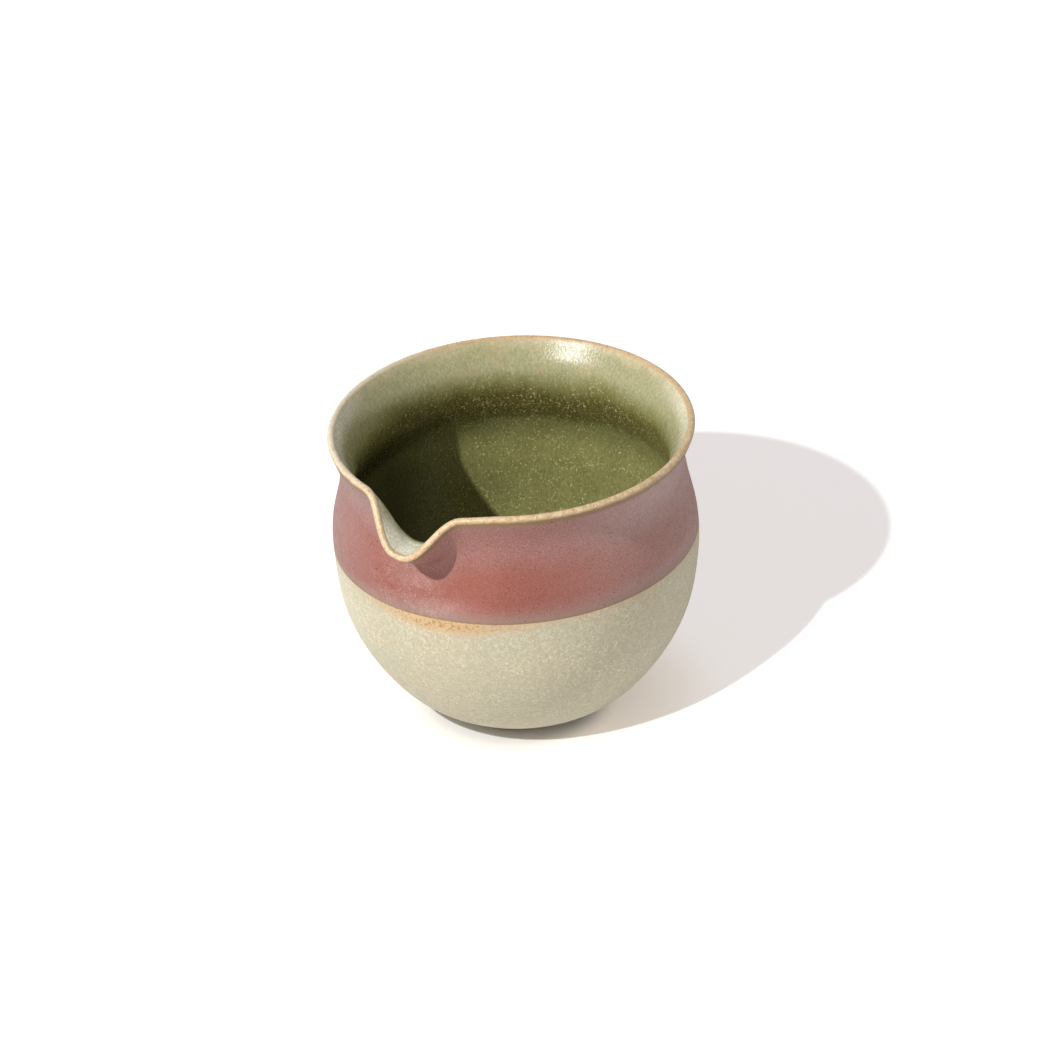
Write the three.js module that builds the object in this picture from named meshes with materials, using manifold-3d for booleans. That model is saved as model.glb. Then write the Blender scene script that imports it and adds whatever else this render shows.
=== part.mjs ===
// A spouted stoneware tea bowl: one wheel-thrown clay wall with a spout pressed out of its rim,
// and the coats of glaze that cover it.
// Millimetres, +Z up. The bowl stands on Z = 0 and pours towards -Y, and the middle of the box
// around it is over the origin.

import * as THREE from "three";
import Module from "manifold-3d";
import { mergeVertices } from "three/addons/utils/BufferGeometryUtils.js";

// Driving dimensions of the glazed outside, from the underside to the lip. The belly is the widest
// place, and each inset says how far inside the belly's radius the wall stands at its height.
const UNDERSIDE_HEIGHT = 1.8;
const HEEL_RADIUS = 17.5;
const CUP_INSET = 17.25;
const CUP_HEIGHT = 7.3;
const LOWER_INSET = 8.0;
const LOWER_HEIGHT = 18.2;
const HIP_INSET = 2.25;
const HIP_HEIGHT = 30.6;
const BELLY_RADIUS = 45.8;
const BELLY_HEIGHT = 45.4;
const SHOULDER_INSET = 0.45;
const SHOULDER_HEIGHT = 53.6;
const NECK_INSET = 2.7;
const NECK_HEIGHT = 64.0;
const FLARE_INSET = 3.2;
const FLARE_HEIGHT = 70.2;
const LIP_INSET = 0.7;
const LIP_HEIGHT = 77.4;

// Thickness of the glazed wall at those places, and of the two places where the spout is thicker.
const FLOOR_WALL = 5.2;
const LOWER_WALL = 4.7;
const BELLY_WALL = 4.2;
const SHOULDER_WALL = 2.9;
const NECK_WALL = 3.9;
const FLARE_WALL = 3.3;
const LIP_WALL = 1.8;
const SPOUT_NECK_WALL = 5.0;
const SPOUT_FLARE_WALL = 4.2;

// The coats of glaze, and the foot ring that was turned out of the clay.
const GLAZE_COAT = 0.5;
const FOOT_RADIUS = 17.9;
const FOOT_WIDTH = 3.8;
const FOOT_EDGE = 0.5;
const SAGE_GLAZE_START = 0.4;

// How much of the wall's outline, below the crest of the lip, the thin tan glaze covers.
const LIP_GLAZE_SHARE = 0.015;

// The edge of the red glaze: its height, how far it leans over the belly, and which way it rises.
const DIP_HEIGHT = 48.7;
const DIP_RISE = 2.8;
const DIP_RISES_TOWARDS = 163;

// The rim falls and shifts towards the spout, a little to one side of it.
const RIM_FALL = 2.7;
const RIM_SHIFT = 1.5;
const RIM_FALLS_TOWARDS = 4.7;

// The spout: the lip is pressed out and down, and the neck under it is pressed in.
const SPOUT_HALF_ANGLE = 18.8;
const SPOUT_REACH_LIP = 4.7;
const SPOUT_REACH_FLARE = 2.3;
const SPOUT_PRESS_NECK = 1.5;
const SPOUT_REACH_SHOULDER = 0.4;
const SPOUT_DROP_LIP = 10.5;
const SPOUT_DROP_FLARE = 7.1;
const SPOUT_DROP_NECK = 5.2;
const SPOUT_DROP_SHOULDER = 2.4;

// The thumb that held the wall on one side of the spout pressed it in there.
const THUMB_ANGLE = 9.3;
const THUMB_SPAN = 22.5;
const THUMB_LIP = 0.4;
const THUMB_FLARE = 0.5;
const THUMB_NECK = 1.7;
const THUMB_SHOULDER = 3.0;
const THUMB_SAG = 1.4;

// How finely the turned surfaces are divided.
const TURN_STEPS = 60;
const SPOUT_CROWDING = 0.55;
const UNDERSIDE_ROWS = 3;
const SAGE_ROWS = 8;
const RED_ROWS = 8;
const LIP_ROWS = 2;
const CREST_ROWS = 5;
const INSIDE_ROWS = 13;
const PROBE = 1e-3;

const degrees = THREE.MathUtils.degToRad;
const { smootherstep, lerp: mix } = THREE.MathUtils;

// One station of the wall: how far its glazed outside stands inside the belly's radius, its height
// and thickness, and what the spout, the thumb beside it and the rim do to it.
const station = (place) => ({
  spoutWall: place.wall,
  reach: 0,
  drop: 0,
  thumb: 0,
  sag: 0,
  rim: 0,
  ...place,
});
const STATIONS = [
  station({
    inset: BELLY_RADIUS,
    height: UNDERSIDE_HEIGHT,
    wall: FLOOR_WALL,
  }),
  station({
    inset: BELLY_RADIUS - HEEL_RADIUS / 2,
    height: UNDERSIDE_HEIGHT,
    wall: FLOOR_WALL,
  }),
  station({
    inset: BELLY_RADIUS - HEEL_RADIUS,
    height: UNDERSIDE_HEIGHT,
    wall: FLOOR_WALL,
  }),
  station({ inset: CUP_INSET, height: CUP_HEIGHT, wall: LOWER_WALL }),
  station({ inset: LOWER_INSET, height: LOWER_HEIGHT, wall: LOWER_WALL }),
  station({ inset: HIP_INSET, height: HIP_HEIGHT, wall: BELLY_WALL }),
  station({ inset: 0, height: BELLY_HEIGHT, wall: BELLY_WALL }),
  station({
    inset: SHOULDER_INSET,
    height: SHOULDER_HEIGHT,
    wall: SHOULDER_WALL,
    reach: SPOUT_REACH_SHOULDER,
    drop: SPOUT_DROP_SHOULDER,
    thumb: THUMB_SHOULDER,
    rim: 1 / 4,
  }),
  station({
    inset: NECK_INSET,
    height: NECK_HEIGHT,
    wall: NECK_WALL,
    spoutWall: SPOUT_NECK_WALL,
    reach: -SPOUT_PRESS_NECK,
    drop: SPOUT_DROP_NECK,
    thumb: THUMB_NECK,
    rim: 1 / 2,
  }),
  station({
    inset: FLARE_INSET,
    height: FLARE_HEIGHT,
    wall: FLARE_WALL,
    spoutWall: SPOUT_FLARE_WALL,
    reach: SPOUT_REACH_FLARE,
    drop: SPOUT_DROP_FLARE,
    thumb: THUMB_FLARE,
    rim: 1,
  }),
  station({
    inset: LIP_INSET,
    height: LIP_HEIGHT,
    wall: LIP_WALL,
    reach: SPOUT_REACH_LIP,
    drop: SPOUT_DROP_LIP,
    thumb: THUMB_LIP,
    sag: THUMB_SAG,
    rim: 1,
  }),
];

// How much the spout and the thumb beside it move the wall in the plane at this angle from the
// spout: 1 at their middles, falling smoothly to 0.
function shares(angle) {
  const turned = THREE.MathUtils.radToDeg(angle);
  const fromThumb = Math.abs(turned - THUMB_ANGLE);
  return {
    spout: 1 - smootherstep(Math.abs(turned), 0, SPOUT_HALF_ANGLE),
    thumb: 1 - smootherstep(fromThumb, 0, THUMB_SPAN),
  };
}

// The wall's outline in the plane at this angle from the spout, as a curve of radius, height, wall.
function outline(angle) {
  const { spout, thumb } = shares(angle);
  const towards = Math.cos(angle - degrees(RIM_FALLS_TOWARDS));
  return new THREE.CatmullRomCurve3(
    STATIONS.map((s) => {
      const pressed = s.reach * spout - s.thumb * thumb;
      const lowered = s.drop * spout + s.sag * thumb;
      return new THREE.Vector3(
        BELLY_RADIUS - s.inset + pressed + RIM_SHIFT * s.rim * towards,
        s.height - lowered - RIM_FALL * s.rim * towards,
        mix(s.wall, s.spoutWall, spout),
      );
    }),
    false,
    "centripetal",
  );
}

// Where the station at this height lies, as a share of the outline.
const shareAt = (height) =>
  STATIONS.findLastIndex((s) => s.height === height) / (STATIONS.length - 1);

const place = (radius, height, angle) =>
  new THREE.Vector3(
    radius * Math.sin(angle),
    -radius * Math.cos(angle),
    height,
  );

// A point of the glazed outside, and the way out of the wall there.
function outside(along, angle) {
  const at = (a, turn) => {
    const p = outline(turn).getPoint(THREE.MathUtils.clamp(a, 0, 1));
    return place(p.x, p.y, turn);
  };
  const low = Math.max(along - PROBE, 0);
  const high = Math.min(along + PROBE, 1);
  const up = at(high, angle).sub(at(low, angle)).normalize();
  const round = at(along, angle + PROBE).sub(at(along, angle - PROBE));
  const out =
    along === 0
      ? new THREE.Vector3(0, 0, -1)
      : round.clone().cross(up).normalize();
  return {
    point: at(along, angle),
    up,
    out,
    wall: outline(angle).getPoint(along).z,
  };
}

// A point this deep in the wall, where 0 is the glazed outside.
const sunk = (along, angle, depth) => {
  const o = outside(along, angle);
  return o.point.addScaledVector(o.out, -depth);
};

// A point on the round crest of the lip, this deep under its glaze. A turn of 0 is its outer side.
function crest(turn, angle, depth) {
  const o = outside(1, angle);
  const half = o.wall / 2;
  return o.point
    .addScaledVector(o.out, -half)
    .addScaledVector(o.out, Math.cos(turn) * (half - depth))
    .addScaledVector(o.up, Math.sin(turn) * (half - depth));
}

// Where the outline reaches this height, as a share of its length.
function alongAtHeight(height, angle) {
  const curve = outline(angle);
  let [low, high] = [shareAt(UNDERSIDE_HEIGHT), shareAt(NECK_HEIGHT)];
  for (let i = 0; i < 40; i++) {
    const middle = (low + high) / 2;
    if (curve.getPoint(middle).y < height) low = middle;
    else high = middle;
  }
  return low;
}

const sageStart = (angle) =>
  alongAtHeight(UNDERSIDE_HEIGHT + SAGE_GLAZE_START, angle);
const redStart = (angle) =>
  alongAtHeight(
    DIP_HEIGHT + DIP_RISE * Math.cos(angle - degrees(DIP_RISES_TOWARDS)),
    angle,
  );

const LIP_GLAZE_START = 1 - LIP_GLAZE_SHARE;

// The turning angles, closer together at the spout.
const ANGLES = Array.from({ length: TURN_STEPS }, (_, i) => {
  const even = (2 * Math.PI * i) / TURN_STEPS - Math.PI;
  return even - SPOUT_CROWDING * Math.sin(even);
});

const ring = (pointAt) => ANGLES.map(pointAt);
const pole = (point) => [point];
const rowsBetween = (count, rowAt) =>
  Array.from({ length: count + 1 }, (_, i) => rowAt(i / count));

// The same divisions of the wall serve the clay and the glaze on it, so that they meet face to face.
const sageRows = (depth) =>
  rowsBetween(SAGE_ROWS, (t) =>
    ring((a) => sunk(mix(sageStart(a), redStart(a), t), a, depth)),
  );
const crestRows = (depth) =>
  rowsBetween(CREST_ROWS, (t) => ring((a) => crest(t * Math.PI, a, depth)));
const redRows = (depth) =>
  rowsBetween(RED_ROWS, (t) =>
    ring((a) => sunk(mix(redStart(a), LIP_GLAZE_START, t), a, depth)),
  );
const lipRows = (depth) => [
  ...rowsBetween(LIP_ROWS, (t) =>
    ring((a) => sunk(mix(LIP_GLAZE_START, 1, t), a, depth)),
  ).slice(0, -1),
  ...crestRows(depth),
];
const insideRows = (under) =>
  rowsBetween(INSIDE_ROWS, (t) =>
    t === 1
      ? pole(
          new THREE.Vector3(0, 0, UNDERSIDE_HEIGHT + FLOOR_WALL - under),
        )
      : ring((a) => sunk(1 - t, a, outside(1 - t, a).wall - under)),
  );
const undersideRows = (depth) => [
  pole(new THREE.Vector3(0, 0, UNDERSIDE_HEIGHT + depth)),
  ...rowsBetween(UNDERSIDE_ROWS, (t) => t)
    .slice(1, -1)
    .map((t) => ring((a) => sunk(t * sageStart(a), a, depth))),
];

// Rows that touch are split along the same diagonals, whichever way they are listed.
const rises = (from, to) => from.z + from.length() <= to.z + to.length();

// Skins a list of rings and poles. A skin with no poles joins its last ring to its first.
function skin(rows) {
  const positions = [];
  const starts = rows.map((row) => {
    const start = positions.length / 3;
    row.forEach((p) => positions.push(p.x, p.y, p.z));
    return start;
  });
  const faces = [];
  const closed = rows[0].length > 1;
  const last = closed ? rows.length : rows.length - 1;
  for (let i = 0; i < last; i++) {
    const next = (i + 1) % rows.length;
    for (let j = 0; j < TURN_STEPS; j++) {
      const k = (j + 1) % TURN_STEPS;
      const [a, b] = [starts[i] + j, starts[i] + k];
      const [c, d] = [starts[next] + j, starts[next] + k];
      if (rows[i].length === 1) faces.push(starts[i], d, c);
      else if (rows[next].length === 1) faces.push(a, b, starts[next]);
      else if (rises(rows[i][j], rows[next][j])) faces.push(a, b, d, a, d, c);
      else faces.push(a, b, c, b, d, c);
    }
  }
  return new THREE.BufferGeometry()
    .setAttribute("position", new THREE.Float32BufferAttribute(positions, 3))
    .setIndex(faces);
}

// The section of a coat of glaze: up its outer side and back down where it meets the clay.
const coat = (outer, inner) => skin([...outer, ...inner.reverse()]);

const wasm = await Module();
wasm.setup();

function toSolid(geometry) {
  const bare = new THREE.BufferGeometry()
    .setAttribute("position", geometry.getAttribute("position"))
    .setIndex(geometry.index);
  const merged = mergeVertices(bare);
  return new wasm.Manifold(
    new wasm.Mesh({
      numProp: 3,
      vertProperties: new Float32Array(merged.attributes.position.array),
      triVerts: new Uint32Array(merged.index.array),
    }),
  );
}

function toGeometry(solid) {
  const made = solid.getMesh();
  return new THREE.BufferGeometry()
    .setAttribute(
      "position",
      new THREE.Float32BufferAttribute(made.vertProperties, made.numProp),
    )
    .setIndex(new THREE.Uint32BufferAttribute(made.triVerts, 1));
}

// The turned foot ring, with softened edges, running up into the underside of the wall.
function footRing() {
  const inner = FOOT_RADIUS - FOOT_WIDTH;
  const top = UNDERSIDE_HEIGHT + GLAZE_COAT + FLOOR_WALL / 4;
  const profile = [
    [inner + FOOT_EDGE, 0],
    [FOOT_RADIUS - FOOT_EDGE, 0],
    [FOOT_RADIUS, FOOT_EDGE],
    [FOOT_RADIUS, top],
    [inner, top],
    [inner, FOOT_EDGE],
    [inner + FOOT_EDGE, 0],
  ].map(([x, y]) => new THREE.Vector2(x, y));
  return new THREE.LatheGeometry(profile, TURN_STEPS).rotateX(Math.PI / 2);
}

// The clay is bare on the foot and the underside. Its wall lies under a coat of glaze elsewhere.
function clayBody() {
  const wall = skin([
    ...undersideRows(GLAZE_COAT),
    ...sageRows(GLAZE_COAT).slice(0, -1),
    ...redRows(GLAZE_COAT).slice(0, -1),
    ...lipRows(GLAZE_COAT).slice(0, -1),
    ...insideRows(GLAZE_COAT),
  ]);
  return toGeometry(toSolid(wall).add(toSolid(footRing())));
}

const finish = (color, roughness) =>
  new THREE.MeshStandardMaterial({ color, roughness, metalness: 0 });

const PIECES = [
  ["clay_body", clayBody(), finish(0xb99a6b, 0.9)],
  [
    "inside_green_glaze",
    skin([...insideRows(GLAZE_COAT).reverse(), ...insideRows(0)]),
    finish(0x7d8257, 0.3),
  ],
  [
    "lip_glaze",
    coat(lipRows(0), lipRows(GLAZE_COAT)),
    finish(0xb08f63, 0.4),
  ],
  [
    "red_glaze_band",
    coat(redRows(0), redRows(GLAZE_COAT)),
    finish(0xa4675f, 0.6),
  ],
  [
    "outside_sage_glaze",
    coat(sageRows(0), sageRows(GLAZE_COAT)),
    finish(0xb5ae90, 0.6),
  ],
];

const teaBowl = new THREE.Group();
teaBowl.name = "spouted_tea_bowl";
for (const [name, geometry, material] of PIECES) {
  geometry.computeVertexNormals();
  const mesh = new THREE.Mesh(geometry, material);
  mesh.name = name;
  teaBowl.add(mesh);
}

const box = new THREE.Box3().setFromObject(teaBowl);
const overhang = (box.min.y + box.max.y) / 2;
for (const mesh of teaBowl.children) mesh.geometry.translate(0, -overhang, 0);

export default teaBowl;
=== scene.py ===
"""A spouted stoneware tea bowl with a green glaze inside and a red band over sage outside."""

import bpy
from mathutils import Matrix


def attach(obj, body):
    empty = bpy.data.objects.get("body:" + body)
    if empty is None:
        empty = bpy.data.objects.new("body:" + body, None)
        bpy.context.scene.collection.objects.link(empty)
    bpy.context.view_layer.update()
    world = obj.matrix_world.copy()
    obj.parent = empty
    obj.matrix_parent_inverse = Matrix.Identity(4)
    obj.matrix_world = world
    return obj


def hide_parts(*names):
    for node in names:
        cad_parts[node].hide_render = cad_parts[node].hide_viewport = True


bl_info = {
    "name": "Spouted tea bowl",
    "version": (1, 1, 0),
    "blender": (4, 5, 0),
    "location": "View3D > Sidebar > Tea bowl",
    "description": "Builds a thrown and glazed tea bowl with a pressed pouring spout",
    "category": "Object",
}

import math

import bpy
import numpy as np
from mathutils import Matrix, Vector

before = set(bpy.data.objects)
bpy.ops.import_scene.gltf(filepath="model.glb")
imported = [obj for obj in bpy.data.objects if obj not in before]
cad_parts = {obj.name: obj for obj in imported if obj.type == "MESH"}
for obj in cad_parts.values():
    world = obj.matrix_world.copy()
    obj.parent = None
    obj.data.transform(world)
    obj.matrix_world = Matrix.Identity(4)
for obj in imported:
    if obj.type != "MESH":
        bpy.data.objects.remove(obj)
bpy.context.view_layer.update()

MM = 0.001

# The wall's stations from the underside to the lip, in millimetres. Each has its radius,
# height and thickness, its thickness at the spout, how far the spout reaches out and drops
# there, how far the thumb beside the spout presses it in and down, and its share of the
# rim's movement. The search for the glazes' edges runs from the heel to the neck.
STATIONS = (
    (0.0, 1.8, 5.2, 5.2, 0.0, 0.0, 0.0, 0.0, 0.0),
    (8.75, 1.8, 5.2, 5.2, 0.0, 0.0, 0.0, 0.0, 0.0),
    (17.5, 1.8, 5.2, 5.2, 0.0, 0.0, 0.0, 0.0, 0.0),
    (28.55, 7.3, 4.7, 4.7, 0.0, 0.0, 0.0, 0.0, 0.0),
    (37.8, 18.2, 4.7, 4.7, 0.0, 0.0, 0.0, 0.0, 0.0),
    (43.55, 30.6, 4.2, 4.2, 0.0, 0.0, 0.0, 0.0, 0.0),
    (45.64, 45.4, 4.2, 4.2, 0.0, 0.0, 0.0, 0.0, 0.0),
    (45.35, 53.6, 2.9, 2.9, 0.4, 2.4, 3.0, 0.0, 0.25),
    (43.1, 64.0, 3.9, 5.0, -1.5, 5.2, 1.7, 0.0, 0.5),
    (42.6, 70.2, 3.3, 4.2, 2.3, 7.1, 0.5, 0.0, 1.0),
    (45.1, 77.39, 1.8, 1.8, 4.64, 10.5, 0.4, 1.4, 1.0),
)
HEEL = 2
NECK = 8

# The spout and the thumb's hollow beside it, in degrees from the middle of the spout.
SPOUT_HALF_ANGLE = 18.8
THUMB_ANGLE = 9.3
THUMB_SPAN = 22.5

# How far the rim leans down and out, in millimetres, and the way it leans, from the spout.
RIM_FALL = 2.7
RIM_SHIFT = 1.5
RIM_FALLS_TOWARDS = math.radians(4.7)

# The thickness of the glaze, the height where the sage glaze starts, and the heights of the
# underside and the floor, in millimetres. The lip's glaze starts at a share of the outline.
GLAZE_COAT = 0.5
SAGE_START = 2.2
UNDERSIDE = 1.8
FLOOR_HEIGHT = 7.0
LIP_GLAZE_START = 0.985

# The spout overhangs, so the turned axis stands behind the middle of the box round the bowl.
AXIS = (0.0, 2.793, 0.0)

# The turned foot ring's section from its inner root to its outer root: radius and height.
FOOT_SECTION = (
    (13.7, 2.3),
    (14.1, 1.9),
    (14.1, 0.55),
    (14.25, 0.2),
    (14.6, 0.0),
    (17.4, 0.0),
    (17.75, 0.15),
    (17.9, 0.5),
    (17.9, 2.0),
    (18.1, 2.35),
)

# The rings of points along each part, and how the lining's rings crowd towards the lip. They
# stop short of the axis, where one point closes the floor a step further on.
UNDERSIDE_RADII = (3.0, 6.0, 9.0, 12.0)
CLAY_ROWS = 40
CLAY_INSIDE_ROWS = 60
GLAZE_ROWS = 110
INSIDE_ROWS = 130
INSIDE_CROWDING = 1.3
INSIDE_SHARE = 0.985
FLOOR_CENTRE_STEP = 2.0
LIP_ROWS = 8
CREST_ROWS = 17

# The step for slopes on the wall, the shortest chord between stations that counts as one, and
# how often the search for a height halves its range.
PROBE = 1e-3
SHORTEST_CHORD = 1e-4
HALVINGS = 40

# The middle range of a noise, which most of its values lie in.
NOISE_RANGE = (0.3, 0.7)

# Where the green glaze changes, in millimetres down from the lip with its unevenness added.
TO_CELADON = (6.0, 10.0)
TO_MOSS = (13.2, 18.8)
TO_OLIVE = (17.0, 22.5)
TO_POOL = (27.0, 32.0)
RUST_STARTS = (15.0, 20.0)
RUST_FADES = (25.0, 30.0)

# Soft zones on the glazes, each a ball about a point of the bowl: its centre, its radius and
# the softness of its edge, in millimetres. Left and right are those of a viewer at the camera.
RIM_LEFT = ((-30.0, -34.0, 74.0), 26.0, 12.0)
RIM_RIGHT = ((34.0, 25.0, 69.0), 17.0, 10.0)
SPOUT_TONGUE = ((0.0, -46.0, 66.0), 10.0, 4.0)
BLUSH_BACK = ((-18.0, 40.0, 71.0), 18.0, 12.0)
# This zone is painted shade: inside on the left, where the lamp's shadow falls.
PAINTED_SHADE_LEFT = ((-34.0, -14.0, 44.0), 33.0, 11.0)
CREST_LEFT = ((-38.0, -14.0, 76.0), 32.0, 18.0)
RED_LEFT = ((-42.0, -24.0, 58.0), 28.0, 18.0)
RED_FRONT = ((26.0, -36.0, 57.0), 26.0, 15.0)
# This zone is painted light: the red's right side made paler where fill light falls.
PAINTED_LIGHT_RED_RIGHT = ((44.0, 4.0, 62.0), 27.0, 17.0)
CRACKLE_FRONT = ((-2.0, -46.0, 48.5), 13.0, 7.0)
# This zone is painted light: the sage's left side made paler where the light falls.
PAINTED_LIGHT_SAGE_LEFT = ((-42.0, -22.0, 30.0), 24.0, 14.0)
HALO_FRONT = ((8.0, -42.0, 47.0), 16.0, 13.0)

# The floor's size and colours. It glows less round the bowl, and less again where the foot
# stands, a painted contact shadow tinted warm like light bounced off the bowl: two distances
# from the origin, in metres, and the values at both.
FLOOR_HALF = 6.0
FLOOR_COLOUR = (0.8, 0.79, 0.785)
GLOW_TINT = (1.0, 0.93, 0.92)
PAINTED_SHADOW_TINT = (1.0, 0.84, 0.7)
GLOW = (0.25, 1.0, 0.5, 1.0)
PAINTED_SHADOW_ZONE = (0.026, 0.06, 1.0, 0.0)
PAINTED_SHADOW_DIM = -0.2
PAINTED_CONTACT_SHADOW = (0.019, 0.027, -0.34, 0.0)

# The sky's strength at the horizon and overhead, and the strength that the camera sees.
SKY_HORIZON = 1.0
SKY_TOP = 0.05
SKY_SEEN = 1.05

# The camera's sensor and lens in millimetres, and in metres the height on the bowl's axis that
# it looks at and how far that point is moved right and up in the picture.
SENSOR = 36.0
LENS = 122.8
AIM_HEIGHT = 0.037
AIM_RIGHT = 0.00199
AIM_UP = 0.01067


def smoother(x, low, high):
    """Perlin's smooth step from 0 to 1."""
    t = np.clip((x - low) / (high - low), 0, 1)
    return t * t * t * (t * (t * 6 - 15) + 10)


def broadcast(along, angle):
    return np.broadcast_arrays(np.asarray(along, float), np.asarray(angle, float))


def outline(along, angle):
    """Radius, height and thickness at a share of the wall's outline, in the plane at an angle.

    A centripetal Catmull-Rom curve runs through the stations, which move with the angle.
    """
    along, angle = broadcast(along, angle)
    turned = (np.degrees(angle) + 180) % 360 - 180
    spout = 1 - smoother(np.abs(turned), 0, SPOUT_HALF_ANGLE)
    pressed = 1 - smoother(np.abs(turned - THUMB_ANGLE), 0, THUMB_SPAN)
    towards = np.cos(angle - RIM_FALLS_TOWARDS)
    count = len(STATIONS)
    points = np.empty(along.shape + (count, 3))
    for k, station in enumerate(STATIONS):
        radius, height, wall, spout_wall, reach, drop, thumb, sag, rim = station
        points[..., k, 0] = (
            radius + reach * spout - thumb * pressed + RIM_SHIFT * rim * towards
        )
        points[..., k, 1] = (
            height - drop * spout - sag * pressed - RIM_FALL * rim * towards
        )
        points[..., k, 2] = wall + (spout_wall - wall) * spout
    p = np.clip(along, 0, 1) * (count - 1)
    i = np.minimum(np.floor(p).astype(int), count - 2)
    w = p - i

    def at(index):
        return np.take_along_axis(points, index[..., None, None], axis=-2)[..., 0, :]

    p1, p2 = at(i), at(i + 1)
    p0 = np.where((i > 0)[..., None], at(np.maximum(i - 1, 0)), 2 * p1 - p2)
    p3 = np.where(
        (i < count - 2)[..., None], at(np.minimum(i + 2, count - 1)), 2 * p2 - p1
    )
    d0, d1, d2 = (
        (((b - a) ** 2).sum(-1) ** 0.25) for a, b in ((p0, p1), (p1, p2), (p2, p3))
    )
    d1 = np.where(d1 < SHORTEST_CHORD, 1.0, d1)
    d0 = np.where(d0 < SHORTEST_CHORD, d1, d0)
    d2 = np.where(d2 < SHORTEST_CHORD, d1, d2)
    d0, d1, d2, w = (v[..., None] for v in (d0, d1, d2, w))
    t1 = ((p1 - p0) / d0 - (p2 - p0) / (d0 + d1) + (p2 - p1) / d1) * d1
    t2 = ((p2 - p1) / d1 - (p3 - p1) / (d1 + d2) + (p3 - p2) / d2) * d1
    c2 = -3 * p1 + 3 * p2 - 2 * t1 - t2
    c3 = 2 * p1 - 2 * p2 + t1 + t2
    return p1 + t1 * w + c2 * w**2 + c3 * w**3


def placed(radius, height, angle):
    """Points at these radii and heights, at these angles from the spout."""
    radius, height, angle = np.broadcast_arrays(radius, height, angle)
    return np.stack([radius * np.sin(angle), -radius * np.cos(angle), height], -1)


def surface(along, angle):
    """The point of the glazed outside there."""
    p = outline(along, angle)
    return placed(p[..., 0], p[..., 1], angle)


def unit(v):
    return v / np.linalg.norm(v, axis=-1, keepdims=True)


def frame_at(along, angle):
    """The point there, the way up the wall, the way out of it and its thickness."""
    along, angle = broadcast(along, angle)
    up = unit(
        surface(np.minimum(along + PROBE, 1), angle)
        - surface(np.maximum(along - PROBE, 0), angle)
    )
    around = surface(along, angle + PROBE) - surface(along, angle - PROBE)
    bottom = (along <= 0)[..., None]
    out = unit(np.where(bottom, np.array([0.0, 0.0, -1.0]), np.cross(around, up)))
    return surface(along, angle), up, out, outline(along, angle)[..., 2:3]


def sunk(along, angle, depth):
    """The point this deep under the glazed outside."""
    point, _, out, _ = frame_at(along, angle)
    return point - out * depth


def inner(along, angle, under):
    """The point this deep under the glazed inside."""
    point, _, out, wall = frame_at(along, angle)
    return point - out * (wall - under)


def crest(turn, angle, depth):
    """The point this deep under the lip's crest, turned this far over from its outer side."""
    point, up, out, wall = frame_at(1.0, angle)
    half = wall / 2
    return (
        point
        - out * half
        + out * math.cos(turn) * (half - depth)
        + up * math.sin(turn) * (half - depth)
    )


def along_at(height, angle):
    """Where the outline reaches that height, between the heel and the neck."""
    low = np.full(angle.shape, HEEL / (len(STATIONS) - 1))
    high = np.full(angle.shape, NECK / (len(STATIONS) - 1))
    for _ in range(HALVINGS):
        middle = (low + high) / 2
        under = outline(middle, angle)[..., 1] < height
        low = np.where(under, middle, low)
        high = np.where(under, high, middle)
    return low


def turns(steps, crowding):
    """Angles round the bowl, closer together at the spout."""
    even = 2 * math.pi * np.arange(steps) / steps - math.pi
    return even - crowding * np.sin(even)


def travelled(rows):
    """How far each ring lies from the first one, along the surface."""
    steps = [np.linalg.norm(b - a, axis=-1) for a, b in zip(rows, rows[1:])]
    return list(np.cumsum([np.zeros_like(steps[0]), *steps], axis=0))


def skin(name, rows, creases=(), measures=None):
    """A mesh object from rings of points, or single points at the axis.

    Rings with no poles close on themselves. The rings listed as creases keep a sharp edge.
    Measures are lengths in millimetres for every point, kept for the material.
    """
    counts = [len(row) for row in rows]
    starts = np.cumsum([0, *counts])
    faces = []
    closed = counts[0] > 1
    for i in range(len(rows) if closed else len(rows) - 1):
        n = (i + 1) % len(rows)
        a, b = starts[i], starts[n]
        steps = max(counts[i], counts[n])
        j = np.arange(steps)
        k = (j + 1) % steps
        if counts[i] == 1:
            ring = (np.full(steps, a), b + k, b + j)
        elif counts[n] == 1:
            ring = (a + j, a + k, np.full(steps, b))
        else:
            ring = (a + j, a + k, b + k, b + j)
        faces += np.stack(ring, -1).tolist()
    mesh = bpy.data.meshes.new(name)
    mesh.from_pydata(((np.concatenate(rows) + AXIS) * MM).tolist(), [], faces)
    mesh.shade_smooth()
    ring_of = np.repeat(np.arange(len(rows)), counts)
    ends = np.empty(len(mesh.edges) * 2, int)
    mesh.edges.foreach_get("vertices", ends)
    ends = ring_of[ends.reshape(-1, 2)]
    sharp = (ends[:, 0] == ends[:, 1]) & np.isin(ends[:, 0], creases)
    mesh.edges.foreach_set("use_edge_sharp", sharp)
    for key, values in (measures or {}).items():
        layer = mesh.attributes.new(key, "FLOAT", "POINT")
        layer.data.foreach_set("value", np.concatenate(values).astype(np.float32))
    mesh.update()
    obj = bpy.data.objects.new(name, mesh)
    bpy.context.scene.collection.objects.link(obj)
    return obj


def coat(name, outer, under, measures):
    """A coat of glaze from its outer rings and the rings where it meets the clay."""
    last = len(outer) - 1
    both = {key: values + values[::-1] for key, values in measures.items()}
    creases = (0, last, last + 1, 2 * last + 1)
    return skin(name, outer + under[::-1], creases, both)


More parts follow.
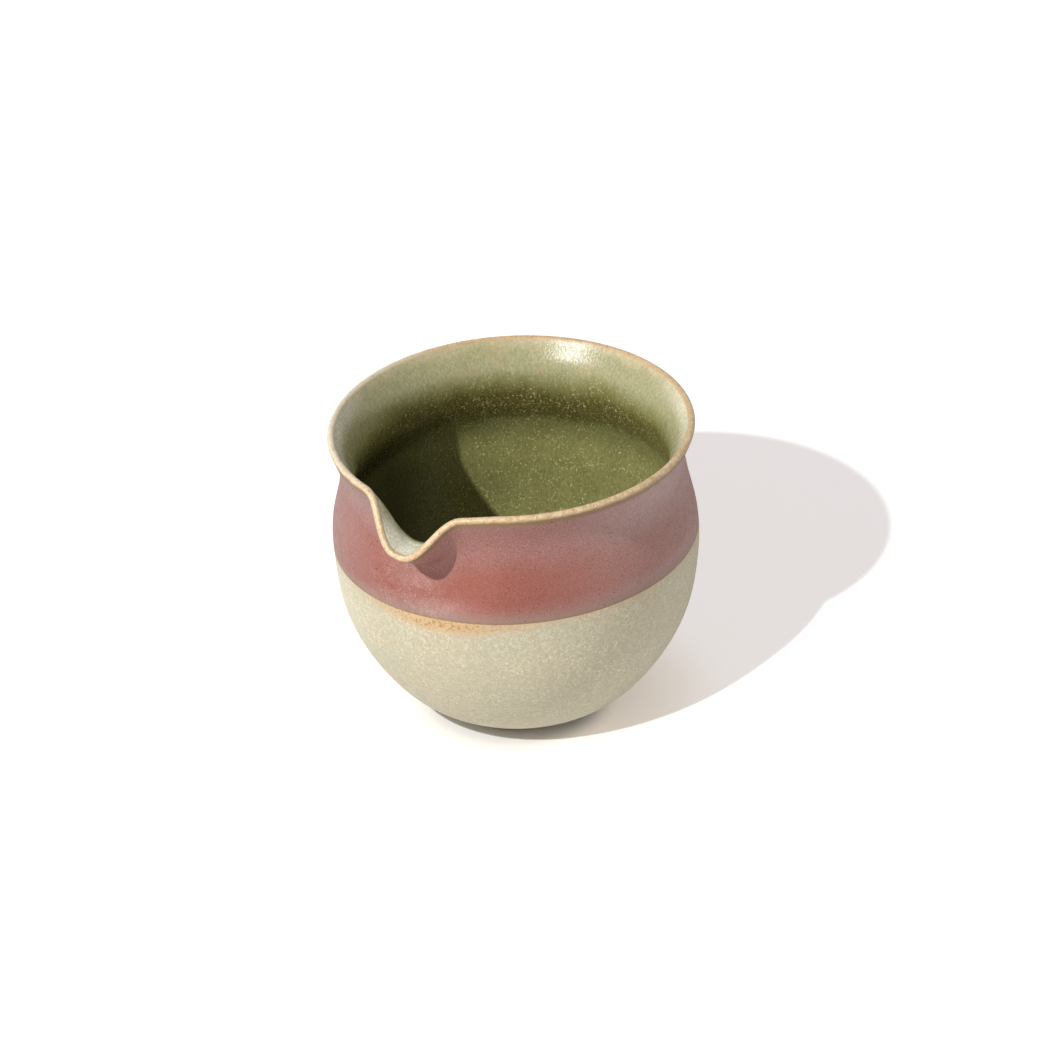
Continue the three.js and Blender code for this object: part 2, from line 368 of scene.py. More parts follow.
class Rings:
    """The angles and the shares of the wall's outline that the pieces have in common."""

    def __init__(self, shape):
        self.angles = turns(shape.steps, shape.crowding)
        self.one = np.ones_like(self.angles)
        lean = np.cos(self.angles - shape.dip_towards)
        red_edge = (shape.dip_height + shape.dip_rise * lean) / MM
        self.sage = along_at(SAGE_START, self.angles)
        self.red = along_at(red_edge, self.angles)
        self.lip = LIP_GLAZE_START * self.one

    def outside(self, low, high, count, depth):
        shares = [low + (high - low) * t for t in np.linspace(0, 1, count + 1)]
        return [sunk(a, self.angles, depth) for a in shares]

    def lip_rows(self, depth):
        below = self.outside(self.lip, self.one, LIP_ROWS, depth)[:-1]
        angles = np.linspace(0, math.pi, CREST_ROWS)
        return below + [crest(t, self.angles, depth) for t in angles]

    def inside(self, under, count):
        steps = np.linspace(0, 1, count) ** INSIDE_CROWDING
        shares = 1 - steps * INSIDE_SHARE
        return [inner(a * self.one, self.angles, under) for a in shares]


class Shade:
    """One material and the nodes it is built from. Its sizes are in millimetres."""

    def __init__(self, name):
        self.material = bpy.data.materials.new(name)
        self.material.use_nodes = True
        self.nodes = self.material.node_tree.nodes
        self.links = self.material.node_tree.links
        self.shader = self.nodes["Principled BSDF"]
        self.coords = self.nodes.new("ShaderNodeTexCoord").outputs["Object"]

    def put(self, socket, value):
        """Links a socket to this input, or sets its number, vector or colour."""
        if isinstance(value, bpy.types.NodeSocket):
            self.links.new(value, socket)
        elif isinstance(value, (int, float)):
            socket.default_value = value
        elif len(value) == len(socket.default_value):
            socket.default_value = value
        else:
            socket.default_value = (*value, 1.0)

    def colour(self, value):
        self.put(self.shader.inputs["Base Color"], value)

    def roughness(self, value):
        self.put(self.shader.inputs["Roughness"], value)

    def specular(self, value):
        self.put(self.shader.inputs["Specular IOR Level"], value)

    def bump(self, relief, height, strength):
        """Raises the surface by up to this height, over any bump before it."""
        node = self.nodes.new("ShaderNodeBump")
        self.put(node.inputs["Distance"], height * MM)
        self.put(node.inputs["Strength"], strength)
        self.put(node.inputs["Height"], relief)
        before = self.shader.inputs["Normal"]
        if before.is_linked:
            self.links.new(before.links[0].from_socket, node.inputs["Normal"])
        self.links.new(node.outputs["Normal"], before)

    def math(self, operation, *values):
        node = self.nodes.new("ShaderNodeMath")
        node.operation = operation
        for socket, value in zip(node.inputs, values):
            self.put(socket, value)
        return node.outputs[0]

    def product(self, first, *others):
        for value in others:
            first = self.math("MULTIPLY", first, value)
        return first

    def highest(self, first, *others):
        for value in others:
            first = self.math("MAXIMUM", first, value)
        return first

    def ranged(self, value, low, high, to_low=0.0, to_high=1.0):
        """A value that goes smoothly to to_high as the given one goes from low to high."""
        node = self.nodes.new("ShaderNodeMapRange")
        node.interpolation_type = "SMOOTHSTEP"
        for key, v in zip(
            ("Value", "From Min", "From Max", "To Min", "To Max"),
            (value, low, high, to_low, to_high),
        ):
            self.put(node.inputs[key], v)
        return node.outputs["Result"]

    def spread(self, noise, low, high):
        """The noise's middle range as values from low to high."""
        return self.ranged(noise, *NOISE_RANGE, low, high)

    def frayed(self, length, noise, depth):
        """A length made uneven by up to this much of the noise."""
        return self.math("MULTIPLY_ADD", noise, depth, length)

    def mixed(self, amount, a, b, blend="MIX"):
        node = self.nodes.new("ShaderNodeMix")
        node.data_type = "RGBA"
        node.blend_type = blend
        sockets = [i for i in node.inputs if i.enabled]
        for socket, value in zip(sockets, (amount, a, b)):
            self.put(socket, value)
        return [o for o in node.outputs if o.enabled][0]

    def laid(self, colour, other, *amounts):
        """The colour with another one over it, as thick as the product of these amounts."""
        return self.mixed(self.product(*amounts), colour, other)

    def toned(self, colour, noise, low, high):
        """The colour made darker and lighter by the noise."""
        return self.mixed(1.0, colour, self.spread(noise, low, high), "MULTIPLY")

    def measure(self, name):
        """A length that the mesh keeps for each point."""
        node = self.nodes.new("ShaderNodeAttribute")
        node.attribute_name = name
        return node.outputs["Fac"]

    def stretched(self, scale):
        """The object's own coordinates, scaled along each axis."""
        node = self.nodes.new("ShaderNodeMapping")
        self.put(node.inputs["Vector"], self.coords)
        self.put(node.inputs["Scale"], scale)
        return node.outputs["Vector"]

    def noise(self, size, detail=3.0, rough=0.55, coords=None, warp=0.0):
        """Noise with features of about this size."""
        node = self.nodes.new("ShaderNodeTexNoise")
        self.put(node.inputs["Vector"], coords or self.coords)
        self.put(node.inputs["Scale"], 1 / (size * MM))
        self.put(node.inputs["Detail"], detail)
        self.put(node.inputs["Roughness"], rough)
        self.put(node.inputs["Distortion"], warp)
        return node.outputs["Fac"]

    def cells(self, size, feature):
        """Cells of about this size: the distance in each and a colour for each."""
        node = self.nodes.new("ShaderNodeTexVoronoi")
        node.feature = feature
        self.put(node.inputs["Vector"], self.coords)
        self.put(node.inputs["Scale"], 1 / (size * MM))
        return node.outputs

    def specks(self, size, share, radius):
        """Round specks in a share of the cells. The radius is in cell sizes."""
        cells = self.cells(size, "F1")
        near = self.ranged(cells["Distance"], radius / 2, radius, 1.0, 0.0)
        split = self.nodes.new("ShaderNodeSeparateColor")
        self.put(split.inputs["Color"], cells["Color"])
        return self.product(near, self.math("LESS_THAN", split.outputs["Red"], share))

    def blot(self, zone):
        """1 in a soft zone of the bowl, falling to 0 outside it."""
        centre, radius, soft = zone
        node = self.nodes.new("ShaderNodeVectorMath")
        node.operation = "DISTANCE"
        self.put(node.inputs[0], self.coords)
        self.put(node.inputs[1], [c * MM for c in centre])
        inside, outside = (radius - soft) * MM, (radius + soft) * MM
        return self.ranged(node.outputs["Value"], inside, outside, 1.0, 0.0)


def finish(obj, shade, node):
    obj.data.materials.append(shade.material)
    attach(obj, "root")
    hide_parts(node)


def number_property(name, description, default, unit="NONE", **limits):
    return bpy.props.FloatProperty(
        name=name, description=description, default=default, unit=unit, **limits
    )


def vector_property(name, description, default, subtype, **limits):
    return bpy.props.FloatVectorProperty(
        name=name,
        description=description,
        default=default,
        subtype=subtype,
        size=3,
        **limits,
    )


def colour_property(name, description, default):
    return vector_property(name, description, default, "COLOR", min=0.0, max=1.0)


class TeaBowlShape(bpy.types.PropertyGroup):
    """How finely the bowl is divided, and where its red glaze ends"""

    steps: bpy.props.IntProperty(
        name="Turn steps", description="Points in each ring", default=400, min=24
    )
    crowding: number_property(
        "Crowding",
        "How much closer together the points are at the spout",
        0.4,
        min=0.0,
        max=0.9,
    )
    dip_height: number_property(
        "Red edge height", "Height of the red glaze's lower edge", 0.0487, "LENGTH"
    )
    dip_rise: number_property(
        "Red edge lean", "How far the edge leans over the belly", 0.0028, "LENGTH"
    )
    dip_towards: number_property(
        "Red edge direction",
        "The way the edge rises, from the spout",
        math.radians(163),
        "ROTATION",
    )


class TeaBowlColours(bpy.types.PropertyGroup):
    """The colours of the clay and the glazes"""

    clay: colour_property("Clay", "Bare fired clay", (0.42, 0.3, 0.17))
    cream: colour_property("Cream", "Thin glaze inside the lip", (0.56, 0.47, 0.29))
    # On the sage, milk is painted light on the left side and towards the foot.
    milk: colour_property("Milk", "Where the glazes are palest", (0.86, 0.83, 0.67))
    celadon: colour_property("Celadon", "Green glaze in the neck", (0.37, 0.35, 0.19))
    moss: colour_property("Moss", "Green glaze on the wall", (0.228, 0.222, 0.078))
    # Olive's band under the neck is partly thick glaze and partly painted shade.
    olive: colour_property("Olive", "Thick green glaze", (0.085, 0.078, 0.018))
    # Depth is painted shade: the green darkened where the lamp's shadow falls inside.
    depth: colour_property("Depth", "Green in deep shade", (0.024, 0.022, 0.005))
    fleck: colour_property("Fleck", "Pale crystals inside", (0.52, 0.5, 0.25))
    blush: colour_property("Blush", "Where the green thins", (0.5, 0.35, 0.19))
    rust: colour_property("Rust", "Iron in the glazes", (0.35, 0.22, 0.07))
    bone: colour_property("Bone", "Worn crest of the lip", (0.78, 0.59, 0.37))
    ochre: colour_property("Ochre", "Glaze broken over the lip", (0.52, 0.34, 0.17))
    brown: colour_property("Brown", "Iron at the lip's edge", (0.27, 0.16, 0.08))
    red: colour_property("Red", "Red glaze over the belly", (0.31, 0.095, 0.066))
    mauve: colour_property("Mauve", "Red glaze at the neck", (0.37, 0.2, 0.18))
    # Frost is also laid over the red's right side as painted fill light.
    frost: colour_property("Frost", "Pale grain in the red", (0.6, 0.44, 0.4))
    ash: colour_property("Ash", "Thin edge of the red glaze", (0.31, 0.21, 0.16))
    speck: colour_property("Speck", "Fine specks in the red", (0.09, 0.04, 0.035))
    spot: colour_property("Spot", "Larger spots in the red", (0.07, 0.025, 0.02))
    sage: colour_property("Sage", "Lower outside glaze", (0.52, 0.485, 0.345))
    sand: colour_property("Sand", "Warmer drifts in the sage", (0.57, 0.485, 0.34))
    halo: colour_property("Halo", "Warm edge under the red", (0.62, 0.39, 0.2))
    crystal: colour_property("Crystal", "Pale crystals in sage", (0.95, 0.9, 0.66))
    iron: colour_property("Iron", "Iron spots in the sage", (0.2, 0.08, 0.04))


class TeaBowlStage(bpy.types.PropertyGroup):
    """The camera and the light"""

    azimuth: number_property(
        "Camera azimuth",
        "Camera's turn round the bowl, from the spout",
        math.radians(33.65),
        "ROTATION",
    )
    elevation: number_property(
        "Camera elevation",
        "Camera's angle over the table",
        math.radians(28.5),
        "ROTATION",
    )
    roll: number_property(
        "Camera roll",
        "How far the camera leans to its right",
        math.radians(1.18),
        "ROTATION",
    )
    distance: number_property(
        "Camera distance", "From the camera to the bowl's axis", 0.9, "LENGTH"
    )
    key: vector_property(
        "Key lamp",
        "The bowl's lamp: right of the bowl, nearer the camera, and up",
        (-0.678, 0.61, 0.819),
        "TRANSLATION",
    )
    key_power: number_property(
        "Key power", "Strength of the key lamp", 36.0, min=0.0
    )
    key_radius: number_property(
        "Key radius", "How large, and so how soft, the key lamp is", 0.015, "LENGTH"
    )
    table: vector_property(
        "Table lamp",
        "The floor's lamp: right of the bowl, nearer the camera, and up",
        (-0.241, 0.434, 0.46),
        "TRANSLATION",
    )
    table_power: number_property(
        "Table power", "Strength of the table lamp", 36.0, min=0.0
    )
    table_radius: number_property(
        "Table radius", "How large, and so how soft, the table lamp is", 0.006, "LENGTH"
    )


class TEABOWL_OT_clay(bpy.types.Operator):
    """Builds the bare clay wall and its foot ring"""

    bl_idname = "teabowl.clay"
    bl_label = "Clay body"

    def execute(self, context):
        rings = Rings(context.scene.tea_bowl_shape)
        colours = context.scene.tea_bowl_colours
        top = UNDERSIDE + GLAZE_COAT
        rows = [np.array([[0.0, 0.0, top]])]
        rows += [placed(r, top, rings.angles) for r in UNDERSIDE_RADII]
        rows += [placed(r, z, rings.angles) for r, z in FOOT_SECTION]
        rows += rings.outside(rings.sage, rings.red, CLAY_ROWS, GLAZE_COAT)
        rows += rings.outside(rings.red, rings.lip, CLAY_ROWS, GLAZE_COAT)[1:]
        rows += rings.lip_rows(GLAZE_COAT)[1:-1]
        rows += rings.inside(GLAZE_COAT, CLAY_INSIDE_ROWS)
        rows.append(np.array([[0.0, 0.0, FLOOR_HEIGHT - GLAZE_COAT]]))
        obj = skin("clay", rows)
        shade = Shade("bare clay")
        shade.colour(shade.toned(colours.clay, shade.noise(9.0), 0.8, 1.1))
        shade.roughness(0.85)
        shade.bump(shade.noise(1.1, 4.0, 0.7), height=0.12, strength=0.7)
        ridges = shade.noise(1.5, 1.0, 0.4, shade.stretched((0.12, 0.12, 1.0)))
        shade.bump(ridges, height=0.1, strength=0.4)
        finish(obj, shade, "clay_body")
        return {"FINISHED"}


class TEABOWL_OT_inside(bpy.types.Operator):
    """Builds the green glaze inside the bowl"""

    bl_idname = "teabowl.inside"
    bl_label = "Inside glaze"

    def execute(self, context):
        rings = Rings(context.scene.tea_bowl_shape)
        over = rings.inside(0.0, INSIDE_ROWS)
        under = rings.inside(GLAZE_COAT, INSIDE_ROWS)
        floor = np.array([[0.0, 0.0, FLOOR_HEIGHT]])
        bed = np.array([[0.0, 0.0, FLOOR_HEIGHT - GLAZE_COAT]])
        down = travelled(over)
        deepest = [down[-1][:1] + FLOOR_CENTRE_STEP]
        measures = {"down": deepest + down[::-1] + down + deepest}
        creases = (len(under), len(under) + 1)
        rows = [bed] + under[::-1] + over + [floor]
        obj = skin("inside_glaze", rows, creases, measures)
        shade = self.glaze(context.scene.tea_bowl_colours)
        finish(obj, shade, "inside_green_glaze")
        return {"FINISHED"}

    def glaze(self, colours):
        shade = Shade("green glaze")
        laid, ranged, noise = shade.laid, shade.ranged, shade.noise
        down = ragged = shade.measure("down")
        streaks = noise(0.6, 4.0, 0.65, shade.stretched((1.0, 1.0, 0.4)))
        runs = noise(2.6, 4.0, 0.6, shade.stretched((1.0, 1.0, 0.35)))
        clouds = noise(14.0, 3.0, 0.5)
        for uneven, depth in ((runs, 5.0), (clouds, 6.0), (streaks, 2.5)):
            ragged = shade.frayed(ragged, uneven, depth)
        colour = laid(colours.cream, colours.celadon, ranged(ragged, *TO_CELADON))
        left, right = shade.blot(RIM_LEFT), shade.blot(RIM_RIGHT)
        rims = shade.math("MULTIPLY_ADD", right, 0.6, left)
        rims = shade.product(rims, ranged(down, 1.2, 5.5, 0.85, 0.0))
        tongue = shade.product(shade.blot(SPOUT_TONGUE), 0.95)
        colour = laid(colour, colours.milk, shade.highest(rims, tongue))
        colour = laid(colour, colours.moss, ranged(ragged, *TO_MOSS))
        # The olive band under the neck is partly thick glaze and partly painted shade.
        colour = laid(colour, colours.olive, ranged(ragged, *TO_OLIVE, 0.0, 0.92))
        pool = ranged(ragged, *TO_POOL)
        colour = laid(colour, colours.moss, pool)
        drift = ranged(noise(7.0, 3.0, 0.6), 0.42, 0.62, 0.0, 0.16)
        colour = laid(colour, colours.olive, pool, drift)
        colour = shade.toned(colour, streaks, 0.86, 1.17)
        blush = ranged(noise(6.0, 4.0, 0.65, warp=0.8), 0.48, 0.64)
        high = ranged(down, 7.0, 11.0, 1.0, 0.0)
        colour = laid(colour, colours.blush, blush, shade.blot(BLUSH_BACK), high, 0.5)
        rust = ranged(noise(0.5, 3.0, 0.6), 0.52, 0.62)
        starts = ranged(ragged, *RUST_STARTS)
        fades = ranged(ragged, *RUST_FADES, 0.5, 0.0)
        colour = laid(colour, colours.rust, rust, starts, fades)
        flecks = ranged(noise(0.55, 2.0, 0.55, warp=0.5), 0.57, 0.66)
        thick = ranged(noise(3.5, 3.0, 0.6), 0.36, 0.6, 0.2, 0.9)
        colour = laid(colour, colours.fleck, flecks, thick)
        # Painted shade: the green darkens low on the wall on the left, where the lamp's shadow
        # falls.
        low = ranged(down, 12.0, 24.0)
        colour = laid(colour, colours.depth, low, shade.blot(PAINTED_SHADE_LEFT), 0.94)
        shade.colour(colour)
        shade.specular(0.35)
        shade.roughness(shade.spread(streaks, 0.22, 0.34))
        shade.bump(noise(0.7, 3.0, 0.6), height=0.1, strength=0.7)
        ridges = noise(3.2, 1.0, 0.4, shade.stretched((0.1, 0.1, 1.0)))
        shade.bump(ridges, height=0.25, strength=0.35)
        return shade


class TEABOWL_OT_lip(bpy.types.Operator):
    """Builds the thin glaze over the lip"""

    bl_idname = "teabowl.lip"
    bl_label = "Lip glaze"

    def execute(self, context):
        rings = Rings(context.scene.tea_bowl_shape)
        over, under = rings.lip_rows(0.0), rings.lip_rows(GLAZE_COAT)
        obj = coat("lip_glaze_fine", over, under, {"up": travelled(over)})
        shade = self.glaze(context.scene.tea_bowl_colours)
        finish(obj, shade, "lip_glaze")
        return {"FINISHED"}

    def glaze(self, colours):
        shade = Shade("tan lip glaze")
        laid, ranged, noise = shade.laid, shade.ranged, shade.noise
        up = shade.frayed(shade.measure("up"), noise(2.0, 4.0, 0.65), 1.2)
        colour = laid(colours.brown, colours.ochre, ranged(up, 1.3, 2.0))
        worn = ranged(noise(1.1, 4.0, 0.7), 0.38, 0.6, 0.3, 1.0)
        colour = laid(colour, colours.bone, ranged(up, 1.8, 2.6), worn)
        colour = laid(colour, colours.ochre, ranged(up, 3.2, 4.0), 0.6)
        pale = ranged(up, 1.8, 2.8, 0.0, 0.55)
        colour = laid(colour, colours.milk, pale, shade.blot(CREST_LEFT))
        iron = ranged(noise(0.7, 3.0, 0.7), 0.57, 0.67, 0.0, 0.6)
        colour = laid(colour, colours.brown, iron)
        shade.colour(colour)
        shade.roughness(shade.spread(noise(0.9), 0.34, 0.5))
        shade.bump(noise(0.6, 3.0, 0.6), height=0.08, strength=0.7)
        return shade


class TEABOWL_OT_red(bpy.types.Operator):
    """Builds the red glaze band"""

    bl_idname = "teabowl.red"
    bl_label = "Red glaze"

    def execute(self, context):
        rings = Rings(context.scene.tea_bowl_shape)
        over = rings.outside(rings.red, rings.lip, GLAZE_ROWS, 0.0)
        under = rings.outside(rings.red, rings.lip, GLAZE_ROWS, GLAZE_COAT)
        measures = {"above": travelled(over), "below": travelled(over[::-1])[::-1]}
        obj = coat("red_glaze", over, under, measures)
        shade = self.glaze(context.scene.tea_bowl_colours)
        finish(obj, shade, "red_glaze_band")
        return {"FINISHED"}

    def glaze(self, colours):
        shade = Shade("red glaze")
        laid, ranged, noise = shade.laid, shade.ranged, shade.noise
        above, below = shade.measure("above"), shade.measure("below")
        clouds = noise(20.0, 4.0, 0.55)
        neck = ranged(shade.frayed(below, clouds, 12.0), 11.0, 22.5, 1.0, 0.0)
        dipped = ranged(shade.frayed(above, clouds, 5.0), 3.5, 9.0, 1.0, 0.0)
        dipped = shade.product(dipped, 0.6)
        left = shade.product(shade.blot(RED_LEFT), 0.85)
        cool = shade.highest(neck, dipped, left)
        colour = laid(colours.red, colours.mauve, cool)
        colour = laid(colour, colours.red, shade.blot(RED_FRONT), 0.5, cool)
        # Painted light: the right side of the red is paler, as if lit by fill light.
        colour = laid(colour, colours.frost, shade.blot(PAINTED_LIGHT_RED_RIGHT), 0.3)
        grain = noise(0.3, 3.0, 0.7)
        colour = shade.toned(colour, grain, 0.7, 1.24)
        frost = ranged(noise(0.45, 2.0, 0.6), 0.58, 0.7, 0.0, 0.35)
        colour = laid(colour, colours.frost, frost, cool)
        edge = shade.frayed(above, noise(1.2, 4.0, 0.65), 1.6)
        colour = laid(colour, colours.ash, ranged(edge, 1.4, 4.2, 0.7, 0.0))
        colour = laid(colour, colours.brown, ranged(edge, 0.9, 1.5, 0.7, 0.0))
        top = shade.frayed(below, noise(0.8, 3.0, 0.6), 0.8)
        colour = laid(colour, colours.brown, ranged(top, 0.5, 1.3, 0.7, 0.0))
        crowd = ranged(noise(12.0, 2.0, 0.5), 0.35, 0.65, 0.25, 0.85)
        fine = shade.specks(size=0.95, share=0.36, radius=0.25)
        colour = laid(colour, colours.speck, fine, crowd)
        large = shade.specks(size=4.0, share=0.22, radius=0.085)
        colour = laid(colour, colours.spot, large, 0.8)
        seams = shade.cells(0.55, "DISTANCE_TO_EDGE")["Distance"]
        net = ranged(seams, 0.0, 0.1, 1.0, 0.0)
        broken = ranged(noise(2.6, 4.0, 0.7, warp=1.2), 0.47, 0.56)
        crackle = shade.product(net, shade.blot(CRACKLE_FRONT), broken)
        colour = laid(colour, colours.frost, crackle, 0.4)
        shade.colour(colour)
        shade.roughness(shade.spread(noise(2.0), 0.4, 0.56))
        shade.bump(grain, height=0.07, strength=0.8)
        return shade


class TEABOWL_OT_sage(bpy.types.Operator):
    """Builds the sage glaze of the lower outside"""

    bl_idname = "teabowl.sage"
    bl_label = "Sage glaze"

    def execute(self, context):
        rings = Rings(context.scene.tea_bowl_shape)
        over = rings.outside(rings.sage, rings.red, GLAZE_ROWS, 0.0)
        under = rings.outside(rings.sage, rings.red, GLAZE_ROWS, GLAZE_COAT)
        measures = {"below": travelled(over[::-1])[::-1]}
        obj = coat("sage_glaze_fine", over, under, measures)
        shade = self.glaze(context.scene.tea_bowl_colours)
        finish(obj, shade, "outside_sage_glaze")
        return {"FINISHED"}

    def glaze(self, colours):
        shade = Shade("sage glaze")
        laid, ranged, noise = shade.laid, shade.ranged, shade.noise
        below = shade.measure("below")
        drifts = ranged(noise(12.0, 4.0, 0.55), 0.36, 0.66, 0.0, 0.5)
        colour = laid(colours.sage, colours.sand, drifts)
        grain = noise(0.34, 3.0, 0.7)
        colour = shade.toned(colour, grain, 0.86, 1.16)
        colour = shade.toned(colour, noise(1.6, 4.0, 0.7), 0.93, 1.07)
        # Painted light: the sage is paler on its left and towards the foot, where light
        # bounces up from the floor.
        foot = ranged(below, 38.0, 54.0, 0.0, 0.6)
        pale = shade.highest(shade.blot(PAINTED_LIGHT_SAGE_LEFT), foot)
        colour = laid(colour, colours.milk, pale, 0.45)
        tan = ranged(noise(0.9, 3.0, 0.65), 0.55, 0.68, 0.0, 0.45)
        colour = laid(colour, colours.halo, tan)
        curls = shade.math("SUBTRACT", noise(0.62, 1.0, 0.5, warp=1.4), 0.5)
        strokes = ranged(shade.math("ABSOLUTE", curls), 0.0, 0.04, 1.0, 0.0)
        broken = ranged(noise(0.8, 2.0, 0.6), 0.48, 0.56)
        crowd = ranged(noise(7.0, 3.0, 0.6), 0.38, 0.6, 0.3, 1.0)
        colour = laid(colour, colours.crystal, strokes, broken, crowd)
        edge = shade.frayed(below, noise(1.3, 4.0, 0.7), 3.0)
        front = shade.blot(HALO_FRONT)
        reach = shade.math("MULTIPLY_ADD", front, 2.2, 2.3)
        strength = shade.math("MULTIPLY_ADD", front, 0.5, 0.4)
        fade = shade.math("SUBTRACT", edge, reach)
        warm = ranged(fade, -1.6, 2.0, 1.0, 0.0)
        colour = laid(colour, colours.halo, warm, strength)
        burnt = ranged(noise(0.6, 3.0, 0.65), 0.5, 0.6, 0.0, 0.85)
        near = ranged(fade, -1.0, 0.6, 1.0, 0.0)
        colour = laid(colour, colours.rust, burnt, near, front)
        spots = shade.specks(size=5.0, share=0.16, radius=0.07)
        colour = laid(colour, colours.iron, spots, 0.75)
        shade.colour(colour)
        shade.roughness(shade.spread(noise(3.0), 0.42, 0.58))
        shade.bump(grain, height=0.06, strength=0.7)
        return shade


class TEABOWL_OT_stage(bpy.types.Operator):
    """Builds the white floor, the light and the camera"""

    bl_idname = "teabowl.stage"
    bl_label = "Stage"

    def execute(self, context):
        stage = context.scene.tea_bowl_stage
        floor = self.floor(context)
        self.world(context)
        a, e = stage.azimuth, stage.elevation
        right = Vector((math.cos(a), math.sin(a), 0))
        nearer = Vector((math.sin(a), -math.cos(a), 0))
        way = nearer * math.cos(e) + Vector((0, 0, math.sin(e)))
        axes = (right, nearer, Vector((0, 0, 1)))
        bowl = [o for o in context.scene.objects if o.type == "MESH" and o != floor]
        key = (stage.key, stage.key_power, stage.key_radius)
        table = (stage.table, stage.table_power, stage.table_radius)
        self.lamp(context, "key", axes, *key, bowl)
        self.lamp(context, "table", axes, *table, [floor])
        self.camera(context, stage, right, way)
        context.scene.view_settings.view_transform = "Standard"
        return {"FINISHED"}

    def floor(self, context):
        """A white floor that glows where the camera sees it, less so round the foot as painted
        shadow.
        """
        mesh = bpy.data.meshes.new("floor")
        corners = [(-1, -1, 0), (1, -1, 0), (1, 1, 0), (-1, 1, 0)]
        corners = [[c * FLOOR_HALF for c in corner] for corner in corners]
        mesh.from_pydata(corners, [], [(0, 1, 2, 3)])
        floor = bpy.data.objects.new("floor", mesh)
        context.scene.collection.objects.link(floor)
        shade = Shade("white floor")
        shade.colour(FLOOR_COLOUR)
        shade.roughness(1.0)
        shade.specular(0.0)
        length = shade.nodes.new("ShaderNodeVectorMath")
        length.operation = "LENGTH"
        shade.put(length.inputs[0], shade.coords)
        away = length.outputs["Value"]
        # Painted shadow: the glow dims round the foot and warms like light bounced off the
        # bowl.
        close = shade.ranged(away, *PAINTED_SHADOW_ZONE)
        level = shade.frayed(shade.ranged(away, *GLOW), close, PAINTED_SHADOW_DIM)
        level = shade.math("ADD", level, shade.ranged(away, *PAINTED_CONTACT_SHADOW))
        seen = shade.nodes.new("ShaderNodeLightPath").outputs["Is Camera Ray"]
        glow = shade.nodes.new("ShaderNodeEmission")
        shade.put(glow.inputs["Color"], shade.mixed(close, GLOW_TINT, PAINTED_SHADOW_TINT))
        shade.put(glow.inputs["Strength"], shade.product(seen, level))
        both = shade.nodes.new("ShaderNodeAddShader")
        shade.put(both.inputs[0], shade.shader.outputs[0])
        shade.put(both.inputs[1], glow.outputs[0])
        shade.put(shade.nodes["Material Output"].inputs["Surface"], both.outputs[0])
        mesh.materials.append(shade.material)
        return floor

    def world(self, context):
        """A sky that is brightest level with the bowl, and plain white to the camera."""
        world = bpy.data.worlds.new("studio")
        context.scene.world = world
        world.use_nodes = True
        nodes, links = world.node_tree.nodes, world.node_tree.links
        back = nodes["Background"]
        back.inputs["Color"].default_value = (1, 1, 1, 1)
        place = nodes.new("ShaderNodeTexCoord")
        split = nodes.new("ShaderNodeSeparateXYZ")
        links.new(place.outputs["Generated"], split.inputs["Vector"])
        sky = nodes.new("ShaderNodeMapRange")
        links.new(split.outputs["Z"], sky.inputs["Value"])
        sky.inputs["To Min"].default_value = SKY_HORIZON
        sky.inputs["To Max"].default_value = SKY_TOP
        ray = nodes.new("ShaderNodeLightPath")
        pick = nodes.new("ShaderNodeMapRange")
        links.new(ray.outputs["Is Camera Ray"], pick.inputs["Value"])
        links.new(sky.outputs["Result"], pick.inputs["To Min"])
        pick.inputs["To Max"].default_value = SKY_SEEN
        links.new(pick.outputs["Result"], back.inputs["Strength"])

    def lamp(self, context, name, axes, place, power, radius, lit):
        """A lamp that keeps its level at any distance and lights only these objects."""
        data = bpy.data.lights.new(name, "POINT")
        data.shadow_soft_size = radius
        data.energy = power
        data.use_nodes = True
        nodes, links = data.node_tree.nodes, data.node_tree.links
        even = nodes.new("ShaderNodeLightFalloff")
        even.inputs["Strength"].default_value = 1.0
        links.new(even.outputs["Constant"], nodes["Emission"].inputs["Strength"])
        lamp = bpy.data.objects.new(name, data)
        context.scene.collection.objects.link(lamp)
        lamp.location = sum((a * p for a, p in zip(axes, place)), Vector())
        receivers = bpy.data.collections.new(name + " lights")
        for obj in lit:
            receivers.objects.link(obj)
        lamp.light_linking.receiver_collection = receivers

    def camera(self, context, stage, right, way):
        """The camera, which looks at the bowl's axis from this way and leans by its roll."""
        data = bpy.data.cameras.new("camera")
        data.sensor_width = SENSOR
        data.lens = LENS
        camera = bpy.data.objects.new("camera", data)
        context.scene.collection.objects.link(camera)
        up = way.cross(right)
        c, s = math.cos(stage.roll), math.sin(stage.roll)
        side, top = right * c - up * s, up * c + right * s
        aim = Vector(AXIS) * MM + Vector((0, 0, AIM_HEIGHT))
        aim += side * AIM_RIGHT + top * AIM_UP
        turn = Matrix((side, top, way)).transposed().to_4x4()
        camera.matrix_world = Matrix.Translation(aim + way * stage.distance) @ turn
        context.scene.camera = camera


class TEABOWL_PT_panel(bpy.types.Panel):
    """The tea bowl's pieces, sizes, colours and light"""

    bl_label = "Tea bowl"
    bl_space_type = "VIEW_3D"
    bl_region_type = "UI"
    bl_category = "Tea bowl"

    def draw(self, context):
        scene = context.scene
        groups = (scene.tea_bowl_shape, scene.tea_bowl_colours, scene.tea_bowl_stage)
        for group in groups:
            box = self.layout.box()
            for key in group.__annotations__:
                box.prop(group, key)
        for piece in PIECES:
            self.layout.operator(piece.bl_idname)


PIECES = (
    TEABOWL_OT_clay,
    TEABOWL_OT_inside,
    TEABOWL_OT_lip,
    TEABOWL_OT_red,
    TEABOWL_OT_sage,
    TEABOWL_OT_stage,
)
CLASSES = (TeaBowlShape, TeaBowlColours, TeaBowlStage, *PIECES, TEABOWL_PT_panel)


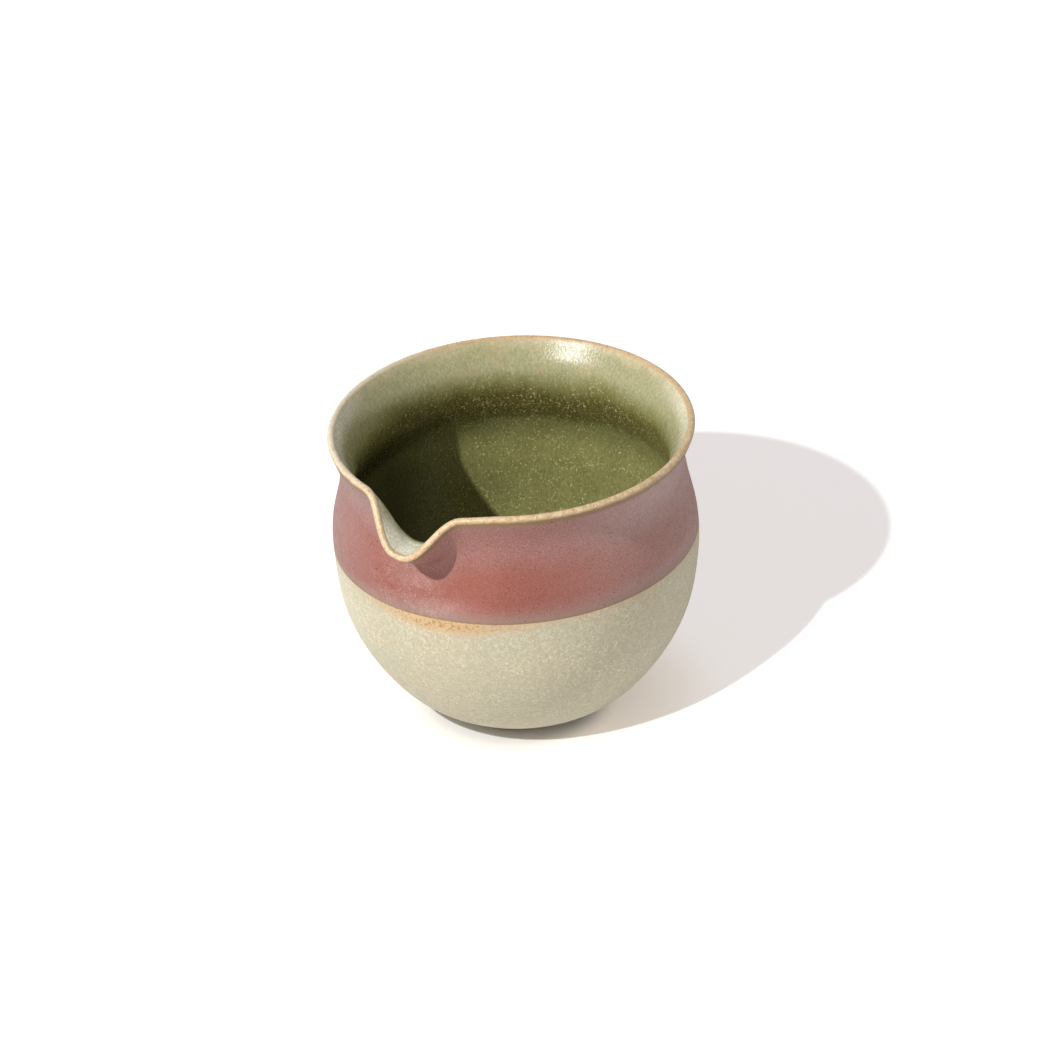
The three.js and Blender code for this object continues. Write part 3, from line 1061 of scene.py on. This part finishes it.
def register():
    for cls in CLASSES:
        bpy.utils.register_class(cls)
    pointer = bpy.props.PointerProperty
    bpy.types.Scene.tea_bowl_shape = pointer(type=TeaBowlShape)
    bpy.types.Scene.tea_bowl_colours = pointer(type=TeaBowlColours)
    bpy.types.Scene.tea_bowl_stage = pointer(type=TeaBowlStage)


def unregister():
    del bpy.types.Scene.tea_bowl_stage
    del bpy.types.Scene.tea_bowl_colours
    del bpy.types.Scene.tea_bowl_shape
    for cls in reversed(CLASSES):
        bpy.utils.unregister_class(cls)


def main():
    register()
    bpy.ops.teabowl.clay()
    bpy.ops.teabowl.inside()
    bpy.ops.teabowl.lip()
    bpy.ops.teabowl.red()
    bpy.ops.teabowl.sage()
    bpy.ops.teabowl.stage()


if __name__ == "__main__":
    main()
